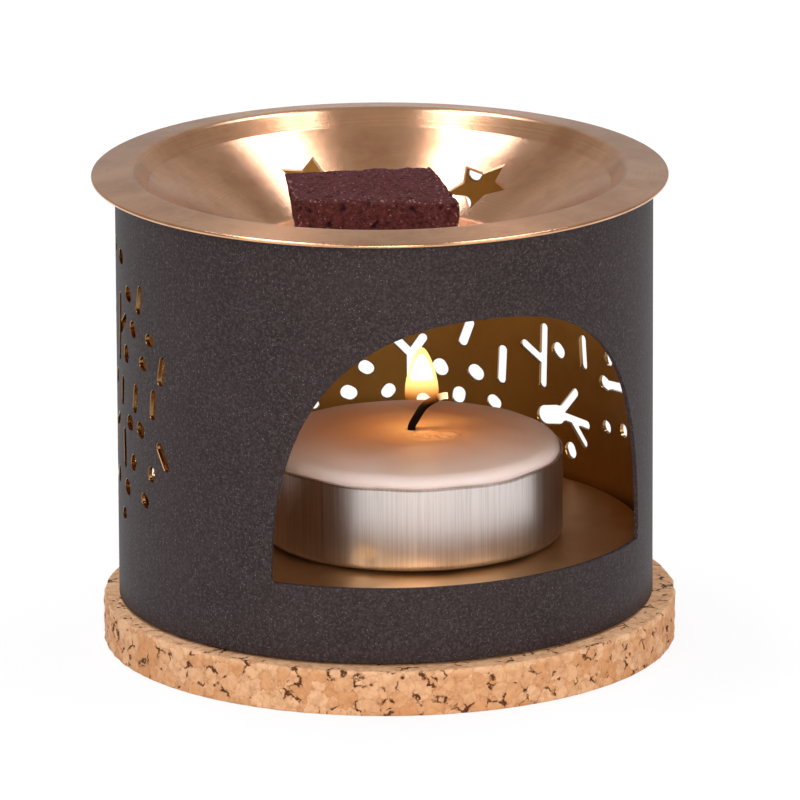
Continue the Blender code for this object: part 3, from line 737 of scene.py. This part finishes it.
def spun_copper():
    """Copper plate on spun steel: rosy gold, its highlights spread into fans across the rings.

    The lathe leaves rings 0.2 to 1 mm apart, so each lamp is drawn out towards the middle. A
    clear lacquer keeps the plate bright, and whitens the lamps where they lie on it.
    """
    finish, tree, place = blank_finish("spun_copper_plate")
    parts = add(tree, "SeparateXYZ", (place,))
    flat = add(tree, "CombineXYZ", {"X": parts.outputs["X"], "Y": parts.outputs["Y"]})
    radius = add(tree, "VectorMath", (flat,), operation="LENGTH")
    rings = add(tree, "TexNoise", {"W": radius, "Scale": 5200.0, "Detail": 4.0,
                                   "Roughness": 0.7}, noise_dimensions="1D")
    broad = add(tree, "TexNoise", {"W": radius, "Scale": 900.0, "Detail": 2.0},
                noise_dimensions="1D")
    # Random blotches about 9 mm wide darken the plate's colour and change its gloss.
    blotch_noise = add(tree, "TexNoise", {"Vector": place, "Scale": 110.0, "Detail": 5.0,
                                     "Roughness": 0.65})
    tint = add(tree, "MapRange", (blotch_noise, 0.42, 0.72))
    line = add(tree, "MapRange", (rings, 0.3, 0.7, 0.0, 0.35))
    base = layered(tree, "#eebb90", (tint, "#c98f64"), (line, "#c68a62"))
    both = add(tree, "Math", (rings, broad), operation="ADD")
    tangent = add(tree, "VectorMath", (flat,), operation="NORMALIZE")
    gloss = add(tree, "MapRange", (blotch_noise, 0.3, 0.7, 0.20, 0.27))
    return finished(finish, tree, (both, 0.10, 0.0001), {
        "Base Color": base, "Metallic": 1.0, "Anisotropic": 0.85, "Roughness": gloss,
        "Coat Weight": 0.45, "Coat Roughness": 0.20, "Tangent": tangent})


def bowl():
    """The spun sheet with its two pairs of stars, seamed between the pairs."""
    seam = STAR_RING_TURN + math.pi / 2.0 - STAR_SPREAD
    arcs = star_middle * np.linspace(seam, seam + math.tau, TUBE_COLUMNS + 1)
    half = DISH_SHEET / 2.0
    rim_rows = dish_length[-1] - half * (1.0 - np.sin(np.linspace(0.0, math.pi / 2.0, 7)))
    rows = np.concatenate([dish_length[dish_length < rim_rows[0] - 0.0001], rim_rows])
    stars = [star_outline(k) for k in range(4)]
    flat, triangles, edges = pierced_sheet(arcs, rows, stars, clearance=0.0002)
    at_ends = (np.abs(flat[edges][..., 1] - dish_length[-1]) < 1e-6).all(axis=1)
    at_ends |= (flat[edges][..., 1] < 1e-6).all(axis=1)
    points, under, over, walls = sheet_shell(flat, triangles, edges[~at_ends], on_dish,
                                             DISH_SHEET, PUNCHED_BREAK)
    cut_edge = lacquered_metal("copper_plate_on_cut_edge", "#f6cba8", "#ecba92", 0.30)
    return new_piece("dish_spun", points, [np.vstack([under, over]), walls],
                     [spun_copper(), cut_edge])


dish = bowl()
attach(dish, "bowl")
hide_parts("dish")


# Incense: resin and ground wood kneaded, pressed to a slab and broken into blocks.
# The faces are fairly smooth, with pits and pale grains of 0.2 to 1 mm, and the edges have chipped.

BLOCK_LENGTH = 0.0208
BLOCK_WIDTH = 0.0171
BLOCK_HEIGHT = 0.0074
BLOCK_TAPER = 0.0013
BLOCK_WEDGE = 0.0048
BLOCK_UNDERCUT = 0.0018
BLOCK_TURN = math.radians(-13.2)
BLOCK_SPOT = DISH_SPOT + (-0.0014, 0.0009, SEAT_GAP + BLOCK_HEIGHT / 2.0 - DISH_DEPTH)
BLOCK_STEPS = 84
CRUMB = 0.0007
CRUMB_RELIEF = 0.0001
BLOCK_WARP = 0.00012
BLOCK_GRIT = 0.00006
PIT_WIDTH = 0.0014
PIT_DEPTH = 0.00025
CHIP_WIDTH = 0.0035
CHIP_DEPTH = 0.00045
EDGE_WEAR = 0.00022


def pressed_incense():
    """Pressed incense: a dry, dark wine brown mass, its faces mottled by the press.

    The mottling is 0.6 mm wide. Pale bits of wood 0.2 mm wide are strewn through the dark resin.
    """
    finish, tree, place = blank_finish("pressed_incense")
    cells = add(tree, "TexVoronoi", {"Vector": place, "Scale": 4200.0})
    chance = add(tree, "SeparateColor", (cells.outputs["Color"],)).outputs["Green"]
    mottle = add(tree, "TexNoise", {"Vector": place, "Scale": 1700.0, "Detail": 5.0,
                                    "Roughness": 0.75})
    lit = add(tree, "MapRange", (mottle, 0.36, 0.66))
    edge, pit = (add(tree, "Attribute", {}, attribute_name=mark).outputs["Fac"]
                 for mark in ("edge", "pit"))
    share = add(tree, "Math", (edge, 0.14, chance), operation="MULTIPLY_ADD")
    wood = add(tree, "MapRange", (share, 0.95, 1.02, 0.0, 0.6))
    # Painted shade: the pits, pressed into the shape, are also painted darker.
    base = layered(tree, "#3a1a19", (lit, "#66383a"), (wood, "#b08478"), (pit, "#2a1416"))
    dust = add(tree, "TexNoise", {"Vector": place, "Scale": 3300.0, "Detail": 4.0,
                                  "Roughness": 0.7})
    lumps = add(tree, "Math", (dust, cells), operation="SUBTRACT")
    return finished(finish, tree, (lumps, 0.8, 0.0003), {
        "Base Color": base, "Roughness": 0.85, "IOR": 1.45, "Specular IOR Level": 0.15})


def incense():
    """A rectangle carried up a profile and drawn in to a point above and below, then crumbled.

    The outline at share s of the profile is the rectangle times s. Grains push each point out
    along the block's rounded normal, and pits and chipped edges draw it in.
    """
    side = np.linspace(-1.0, 1.0, BLOCK_STEPS, endpoint=False)
    rest = np.ones(len(side))
    across = np.concatenate([side, rest, -side, -rest])
    along = np.concatenate([-rest, side, rest, -side])
    shares = np.concatenate([np.linspace(0.0, 1.0, 24), np.ones(40), np.linspace(1.0, 0.0, 42)])
    ups = np.concatenate([-np.ones(24), np.linspace(-1.0, 1.0, 42)[1:-1], np.ones(42)])
    unit = np.stack([shares[:, None] * across, shares[:, None] * along,
                     np.repeat(ups[:, None], len(across), axis=1)], axis=-1)
    quads = ring_quads(*unit.shape[:2])
    unit = unit.reshape(-1, 3)
    length = BLOCK_LENGTH - BLOCK_TAPER * (1.0 + unit[:, 1]) / 2.0
    width = BLOCK_WIDTH + np.where(unit[:, 1] < 0.0, BLOCK_WEDGE * unit[:, 0], 0.0)
    points = unit * np.stack([length, width, np.full(len(unit), BLOCK_HEIGHT)], axis=1) / 2.0
    lean = (1.0 - unit[:, 0]) * (1.0 + unit[:, 1]) * (1.0 - unit[:, 2])
    points[:, 0] += BLOCK_UNDERCUT * lean / 8.0
    outward = unit_rows(unit ** 9)
    squares = np.sort(np.abs(unit), axis=1)
    edge = np.clip((squares[:, 1] - 0.90) / 0.10, 0.0, 1.0)
    tone = grains(points, CRUMB, 3.0)
    pit = np.clip(swell(points, PIT_WIDTH, 15, 40) * 1.8 - 1.3, 0.0, 1.0)
    chips = np.clip(swell(points, CHIP_WIDTH, 14), 0.0, 1.0) * edge
    lift = CRUMB_RELIEF * (tone - 0.5) - PIT_DEPTH * pit - CHIP_DEPTH * chips - EDGE_WEAR * edge
    lift += BLOCK_WARP * swell(points, 0.004, 12) + BLOCK_GRIT * swell(points, 0.0006, 13)
    points = points + outward * lift[:, None]
    points[unit[:, 2] < -0.999, 2] = -BLOCK_HEIGHT / 2.0
    points = points @ np.array(Matrix.Rotation(-BLOCK_TURN, 3, "Z")) + BLOCK_SPOT
    return new_piece("incense_block_pressed", points, [quads], [pressed_incense()],
                     {"pit": pit, "edge": edge})


block = incense()
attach(block, "incense")
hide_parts("incense_block")


# Tealight cup: drawn from thin aluminium foil sheet, with faint upright drawing lines and a
# couple of dents from handling.

CUP_RADIUS = 0.020
CUP_HEIGHT = 0.0112
CUP_WALL = 0.0003
CUP_BEND = 0.0010
CUP_LIP = 0.0003
CUP_FLARE = 0.000075
CUP_COLUMNS = 300
LIP_WAVE = 0.00010
LIP_BUCKLE = 0.00008
DENTS = ((math.radians(-40.0), 0.0014, 0.0012, 0.00025),
         (math.radians(58.0), 0.0100, 0.0020, 0.00030))
CUP_MIDDLE = np.array((0.0020, -0.0043, TUBE_FOOT + PAN_HEIGHT + SEAT_GAP))


def drawn_aluminium():
    """Drawn aluminium: bright satin metal with upright lines 0.1 to 0.5 mm apart from the die."""
    finish, tree, place = blank_finish("drawn_aluminium")
    upright = add(tree, "Mapping", {"Vector": place, "Scale": (3600.0, 3600.0, 50.0)})
    lines = add(tree, "TexNoise", {"Vector": upright, "Scale": 1.0, "Detail": 4.0,
                                   "Roughness": 0.7})
    line = add(tree, "MapRange", (lines, 0.36, 0.60))
    gloss = add(tree, "MapRange", (lines, 0.3, 0.7, 0.30, 0.42))
    return finished(finish, tree, (lines, 0.045, 0.0001), {
        "Base Color": layered(tree, "#cfc4bf", (line, "#e3d9d4")), "Metallic": 1.0,
        "Roughness": gloss})


def cup():
    """The cup turned from its profile, its lip a little uneven, with two dents in its wall.

    A dent draws points in towards the axis by depth x e^-(distance / reach)^2.
    """
    path = rounded([
        (0.0, 0.0, 0.0),
        (CUP_RADIUS - CUP_LIP, 0.0, CUP_BEND),
        (CUP_RADIUS - CUP_LIP, CUP_HEIGHT - CUP_LIP, CUP_LIP / 2.0),
        (CUP_RADIUS - CUP_LIP + CUP_FLARE, CUP_HEIGHT, 0.0),
    ], 8)
    profile = divided(sheet_profile(path, CUP_WALL), 0.0008)
    points, quads = turned(profile, CUP_COLUMNS)
    near_lip = np.clip(points[:, 2] / CUP_HEIGHT, 0.0, 1.0) ** 4
    ring = points * (1.0, 1.0, 0.0)
    points[:, 2] += near_lip * LIP_WAVE * swell(ring, 0.011, 31)
    buckle = near_lip * LIP_BUCKLE * swell(ring, 0.006, 32)
    points = points + ring / CUP_RADIUS * buckle[:, None]
    for azimuth, height, reach, depth in DENTS:
        spot = (CUP_RADIUS * math.sin(azimuth), -CUP_RADIUS * math.cos(azimuth), height)
        away = np.linalg.norm(points - spot, axis=1)
        inward = unit_rows(points * (-1.0, -1.0, 0.0))
        points = points + inward * (depth * np.exp(-(away / reach) ** 2))[:, None]
    return new_piece("tealight_cup_drawn", points + CUP_MIDDLE, [quads], [drawn_aluminium()])


tealight_cup = cup()
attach(tealight_cup, "tealight")
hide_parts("tealight_cup")


# Tealight wax: paraffin pressed to a puck and dropped into the cup. The flame has begun to melt
# it, leaving a few set ripples beside the wick. Its middle is painted amber, as painted flame light.

WAX_SLACK = 0.0001
WAX_RADIUS = CUP_RADIUS - CUP_LIP - CUP_WALL - WAX_SLACK
WAX_EDGE = CUP_HEIGHT + 0.0014
WAX_CROWN = WAX_EDGE + 0.0013
WAX_FLAT = 0.0085
WAX_SHOULDER = 0.0016
WAX_UNEVEN = 0.00005
WAX_COLUMNS = 260
WICK_RADIUS = 0.00055
SUSTAINER_RADIUS = 0.0065
SUSTAINER_TOP = 0.0009
CRIMP_RADIUS = 0.00115
CRIMP_TOP = 0.0034
RIPPLES = ((0.0004, -0.0036, 0.00030, 0.0020, 0.00026),
           (0.0026, -0.0050, 0.00026, 0.0016, 0.00024))


def paraffin():
    """Paraffin wax, warm from the flame: milky and satin, lets light in a few millimetres.

    Round the wick its colour is painted amber, a painted warm glow of the flame, fading out 21 mm
    away.
    """
    finish, tree, place = blank_finish("paraffin_wax")
    cloud = add(tree, "TexNoise", {"Vector": place, "Scale": 160.0, "Detail": 3.0})
    middle = tuple(CUP_MIDDLE + (0.0, 0.003, WAX_CROWN))
    away = add(tree, "VectorMath", (place, middle), operation="DISTANCE")
    # Painted light: amber round a spot 3 mm behind the wick, a painted glow of the flame and the gold
    # wall.
    painted_flame_glow = add(tree, "MapRange", (away, 0.007, 0.021, 1.0, 0.0),
                 interpolation_type="SMOOTHSTEP")
    base = layered(tree, "#fde6e0", (cloud, "#f7dacf"), (painted_flame_glow, "#e9ab7c"))
    skin = add(tree, "TexNoise", {"Vector": place, "Scale": 900.0, "Detail": 2.0})
    return finished(finish, tree, (skin, 0.06, 0.0002), {
        "Base Color": base, "Roughness": 0.5, "IOR": 1.44, "Specular IOR Level": 0.35,
        "Subsurface Weight": 0.6, "Subsurface Radius": (1.0, 0.65, 0.5),
        "Subsurface Scale": 0.006})


def wax():
    """The puck turned round its bore, with melt ripples in front of the wick.

    Ripples are rings round two spots: height x cos(distance / length) x e^-(distance / reach)^2.
    """
    foot = CUP_WALL + SEAT_GAP
    path = rounded([
        (SUSTAINER_RADIUS + SEAT_GAP, foot, 0.0),
        (WAX_RADIUS, foot, CUP_BEND),
        (WAX_RADIUS, WAX_EDGE, WAX_SHOULDER),
        (WAX_FLAT, WAX_CROWN, WAX_FLAT),
        (WICK_RADIUS + SEAT_GAP, WAX_CROWN, 0.0),
        (WICK_RADIUS + SEAT_GAP, CRIMP_TOP + SEAT_GAP, 0.0),
        (CRIMP_RADIUS + SEAT_GAP, CRIMP_TOP + SEAT_GAP, 0.0),
        (CRIMP_RADIUS + SEAT_GAP, SUSTAINER_TOP + SEAT_GAP, 0.0),
        (SUSTAINER_RADIUS + SEAT_GAP, SUSTAINER_TOP + SEAT_GAP, 0.0),
        (SUSTAINER_RADIUS + SEAT_GAP, foot, 0.0),
    ], 12)
    points, quads = turned(divided(path, 0.0004), WAX_COLUMNS)
    on_top = np.clip((points[:, 2] - CUP_HEIGHT) / WAX_SHOULDER, 0.0, 1.0)
    for x, y, length, reach, height in RIPPLES:
        away = np.hypot(points[:, 0] - x, points[:, 1] - y)
        points[:, 2] += on_top * height * np.cos(away / length) * np.exp(-(away / reach) ** 2)
    points[:, 2] += on_top * WAX_UNEVEN * swell(points * (1.0, 1.0, 0.0), 0.007, 41)
    return new_piece("tealight_wax_puck", points + CUP_MIDDLE, [quads], [paraffin()])


tealight_wax = wax()
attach(tealight_wax, "tealight")
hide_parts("tealight_wax")


# Wick sustainer: a disc of tinned steel sheet, its middle drawn to a tube and crimped on the
# wick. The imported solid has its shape, and only needs the metal's finish.

def tinned_steel():
    """Bright tinplate: smooth satin metal with a faint spangle 0.6 mm wide."""
    finish, tree, place = blank_finish("tinplate")
    spangle = add(tree, "TexVoronoi", {"Vector": place, "Scale": 1600.0})
    chance = add(tree, "SeparateColor", (spangle.outputs["Color"],))
    shader = add(tree, "BsdfPrincipled", {
        "Base Color": layered(tree, "#c3c3c3", (chance, "#dedede")), "Metallic": 1.0,
        "Roughness": 0.32})
    add(tree, "OutputMaterial", {"Surface": shader})
    return finish


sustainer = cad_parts["wick_sustainer"]
sustainer.data.materials.clear()
sustainer.data.materials.append(tinned_steel())


# Wick: braided cotton dipped in wax, threaded up through the sustainer. It has burnt black and
# bent over, and its tip glows.

WICK_STAND = 0.0003
WICK_RISE = 0.0041
WICK_REACH = 0.0047
WICK_SLANT = math.radians(30.0)
WICK_LEAN = math.radians(67.7)
WICK_SIDES = 20
WICK_CHARRED = 0.92
STRANDS = 3.0
STRAND_SWELL = 0.10
STRAND_TWIST = 0.55
EMBER_FROM = 0.86
EMBER_FADE = 0.10


def charred_cotton():
    """Burnt cotton braid: dull black char, with an ember where the mark runs to the tip."""
    finish, tree, place = blank_finish("charred_cotton")
    fray = add(tree, "TexNoise", {"Vector": place, "Scale": 5000.0, "Detail": 3.0})
    ember = add(tree, "Attribute", {}, attribute_name="ember").outputs["Fac"]
    return finished(finish, tree, (fray, 0.7, 0.0001), {
        "Base Color": layered(tree, "#080504", (fray, "#1c110b")), "Roughness": 0.95,
        "Specular IOR Level": 0.1, "Emission Strength": 3.2,
        "Emission Color": layered(tree, "#000000", (ember, "#ffc890"))})


def burnt_wick():
    """A braid carried up the wick's path: straight through the wax, then over in an elliptic arc.

    Its section is a circle swollen by three strands that wind round it, and its ends draw in.
    """
    stand = WAX_CROWN + WICK_STAND
    foot = CUP_WALL + SEAT_GAP
    rise = np.linspace(foot, stand, 30)
    turn = np.linspace(WICK_SLANT, math.pi / 2.0, 26)[1:]
    over = 1.0 - np.cos(turn) / math.cos(WICK_SLANT)
    higher = (np.sin(turn) - math.sin(WICK_SLANT)) / (1.0 - math.sin(WICK_SLANT))
    out = np.concatenate([np.zeros(len(rise)), WICK_REACH * over])
    up = np.concatenate([rise, stand + WICK_RISE * higher])
    out, up = np.pad(out, 1, mode="edge"), np.pad(up, 1, mode="edge")
    along = np.gradient(np.stack([out, up], axis=1), axis=0)
    along[0] = along[1] = along[2]
    along[-1] = along[-2] = along[-3]
    along = unit_rows(along)
    around = np.linspace(0.0, math.tau, WICK_SIDES, endpoint=False)
    row = np.arange(len(out))[:, None]
    share = row / len(out)
    strands = 1.0 + STRAND_SWELL * np.cos(STRANDS * around + row * STRAND_TWIST)
    radius = WICK_RADIUS * WICK_CHARRED * strands
    radius = radius * (1.0 - np.clip(share - 0.75, 0.0, 1.0) * share)
    radius[[0, -1]] = 0.0
    outwards = np.array((math.sin(WICK_LEAN), -math.cos(WICK_LEAN), 0.0))
    sideways = np.array((math.cos(WICK_LEAN), math.sin(WICK_LEAN), 0.0))
    upwards = np.array((0.0, 0.0, 1.0))
    square = along[:, 1:] * outwards - along[:, :1] * upwards
    middle = out[:, None] * outwards + up[:, None] * upwards
    points = middle[:, None, :] + radius[..., None] * (
        np.cos(around)[:, None] * square[:, None, :] + np.sin(around)[:, None] * sideways)
    quads = ring_quads(len(points), WICK_SIDES)
    ember = np.clip((share - EMBER_FROM) / EMBER_FADE, 0.0, 1.0) * np.ones(WICK_SIDES)
    return new_piece("wick_charred", points.reshape(-1, 3) + CUP_MIDDLE, [quads],
                     [charred_cotton()], {"ember": ember.ravel()})


wick = burnt_wick()
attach(wick, "tealight")
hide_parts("wick")


# Flame: burning wax vapour round the bent wick, white hot above and orange where it is thin.
# It is drawn as a glowing core inside a clear mantle.

FLAME_REACH = 0.0013
FLAME_FOOT = WAX_CROWN + 0.0020
FLAME_HEIGHT = 0.0090
FLAME_RADIUS = 0.0022
FLAME_ROWS = 56
FLAME_COLUMNS = 48


def burning_vapour(name, low_colour, high_colour, clear_below, full_above, clearness, strength):
    """Glowing vapour: clear up to one height above the wax, and full from another one up."""
    finish, tree, place = blank_finish(name)
    height = add(tree, "SeparateXYZ", (place,)).outputs["Z"]
    wax_top = float(CUP_MIDDLE[2]) + WAX_CROWN
    share = add(tree, "MapRange", (height, wax_top + clear_below, wax_top + full_above),
                interpolation_type="SMOOTHSTEP")
    colour = layered(tree, low_colour, (share, high_colour))
    glow = add(tree, "Emission", {"Color": colour, "Strength": strength})
    air = add(tree, "BsdfTransparent", {})
    clear = add(tree, "MapRange", {"Value": share, "To Min": 1.0, "To Max": clearness})
    both = add(tree, "MixShader", (clear, glow, air))
    add(tree, "OutputMaterial", {"Surface": both})
    return finish


def flame_body(name, scale, finish):
    """A drop turned round its own axis: radius sin(pi s^0.6)^0.55 at share s of its height."""
    share = np.linspace(0.0, 1.0, FLAME_ROWS)
    bulge = np.maximum(np.sin(math.pi * share ** 0.6), 0.0) ** 0.55
    bulge[[0, -1]] = 0.0
    height = FLAME_FOOT + share * FLAME_HEIGHT * (0.3 + 0.7 * scale)
    profile = np.stack([FLAME_RADIUS * scale * bulge, height], axis=1)
    points, quads = turned(profile, FLAME_COLUMNS)
    shift = FLAME_REACH * np.array((math.sin(WICK_LEAN), -math.cos(WICK_LEAN), 0.0))
    return new_piece(name, points + shift + CUP_MIDDLE, [quads], [finish])


mantle = flame_body("flame_mantle", 1.0, burning_vapour(
    "burning_wax_vapour_mantle", "#ff7a10", "#ffd07a",
    clear_below=0.0036, full_above=0.0066, clearness=0.40, strength=2.2))
core = flame_body("flame_core", 0.85, burning_vapour(
    "burning_wax_vapour_core", "#ff9a30", "#ffdc98",
    clear_below=0.0060, full_above=0.0084, clearness=0.0, strength=26.0))
for body in (mantle, core):
    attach(body, "tealight")


# Studio: a white sweep under soft lamps. Not part of the object.

FLOOR_SPAN = 4.0
PAPER_GLOW = 0.80
LAMPS_FACE = (0.0, 0.0, 0.035)
CAMERA_SPOT = (-0.5069, -1.2358, 0.4035)
CAMERA_AZIMUTH = math.radians(22.386)
CAMERA_DOWN = 15.556
CAMERA_ROLL = -0.0046
CAMERA_LENS = 477.3


def white_sweep():
    """Matte white paper that prints white to the lens and in reflections, and keeps its shadow."""
    finish, tree, _ = blank_finish("studio_white_paper")
    paper = add(tree, "BsdfDiffuse", {"Color": "#fafcff"})
    white = add(tree, "Emission", {"Strength": 1.0})
    path = add(tree, "LightPath", {})
    seen = path.outputs["Is Camera Ray"]
    for ray in ("Is Glossy Ray", "Is Transmission Ray"):
        seen = add(tree, "Math", (seen, path.outputs[ray]), operation="MAXIMUM")
    share = add(tree, "Math", (seen, PAPER_GLOW), operation="MULTIPLY")
    both = add(tree, "MixShader", (share, paper, white))
    add(tree, "OutputMaterial", {"Surface": both})
    return finish


def soft_lamp(name, spot, width, height, power, colour, overhead):
    """A rectangular soft box that faces the middle of the object or, overhead, straight down."""
    lamp = bpy.data.lights.new(name, "AREA")
    lamp.shape = "RECTANGLE"
    lamp.size = width
    lamp.size_y = height
    lamp.energy = power
    lamp.color = linear(colour)[:3]
    holder = bpy.data.objects.new(name, lamp)
    holder.location = spot
    towards = Vector(LAMPS_FACE) - Vector(spot)
    holder.rotation_euler = towards.to_track_quat("-Z", "Y").to_euler()
    if overhead:
        holder.rotation_euler = (0.0, 0.0, -CAMERA_AZIMUTH)
    bpy.context.scene.collection.objects.link(holder)


def from_camera(right, back, up):
    """Point in space from how far it lies to the camera's right, behind the object and up."""
    cosine, sine = math.cos(CAMERA_AZIMUTH), math.sin(CAMERA_AZIMUTH)
    return (right * cosine + back * sine, -right * sine + back * cosine, up)


corners = np.array([(-1.0, -1.0, 0.0), (1.0, -1.0, 0.0), (1.0, 1.0, 0.0), (-1.0, 1.0, 0.0)])
floor = new_piece("studio_floor", corners * FLOOR_SPAN, [np.array([[0, 1, 2, 3]])],
                  [white_sweep()])

for name, spot, width, height, power, colour, overhead in (
    ("strip_left", (-0.375, 0.275, 1.20), 0.23, 0.95, 8.6, "#eef2ff", True),
    ("strip_right", (0.435, 0.275, 1.20), 0.19, 0.95, 7.4, "#eef2ff", True),
    ("front_key", (-0.9, -1.1, 1.0), 1.2, 0.9, 8.6, "#ffffff", False),
    ("front_fill", (1.1, -1.0, 0.6), 0.9, 0.9, 5.4, "#fff8f2", False),
    ("front_low", (0.1, -1.5, 0.55), 0.6, 0.4, 9.0, "#ffeee0", False),
    ("backdrop", (0.0, 1.5, 0.70), 2.4, 0.78, 0.7, "#ffffff", False),
):
    soft_lamp(name, from_camera(*spot), width, height, power, colour, overhead)

world = bpy.data.worlds.new("studio")
world.use_nodes = True
world.node_tree.nodes.clear()
room = add(world.node_tree, "Background", {"Color": "#c4bcb6", "Strength": 0.6})
add(world.node_tree, "OutputWorld", {"Surface": room})
bpy.context.scene.world = world

bpy.context.scene.view_settings.view_transform = "Standard"

lens = bpy.data.cameras.new("lens")
lens.sensor_width = 36.0
lens.lens = CAMERA_LENS
lens.clip_end = 20.0
camera = bpy.data.objects.new("camera", lens)
camera.matrix_world = (
    Matrix.Translation(CAMERA_SPOT)
    @ Matrix.Rotation(-CAMERA_AZIMUTH, 4, "Z")
    @ Matrix.Rotation(math.radians(90.0 - CAMERA_DOWN), 4, "X")
    @ Matrix.Rotation(CAMERA_ROLL, 4, "Z"))
bpy.context.scene.collection.objects.link(camera)
bpy.context.scene.camera = camera
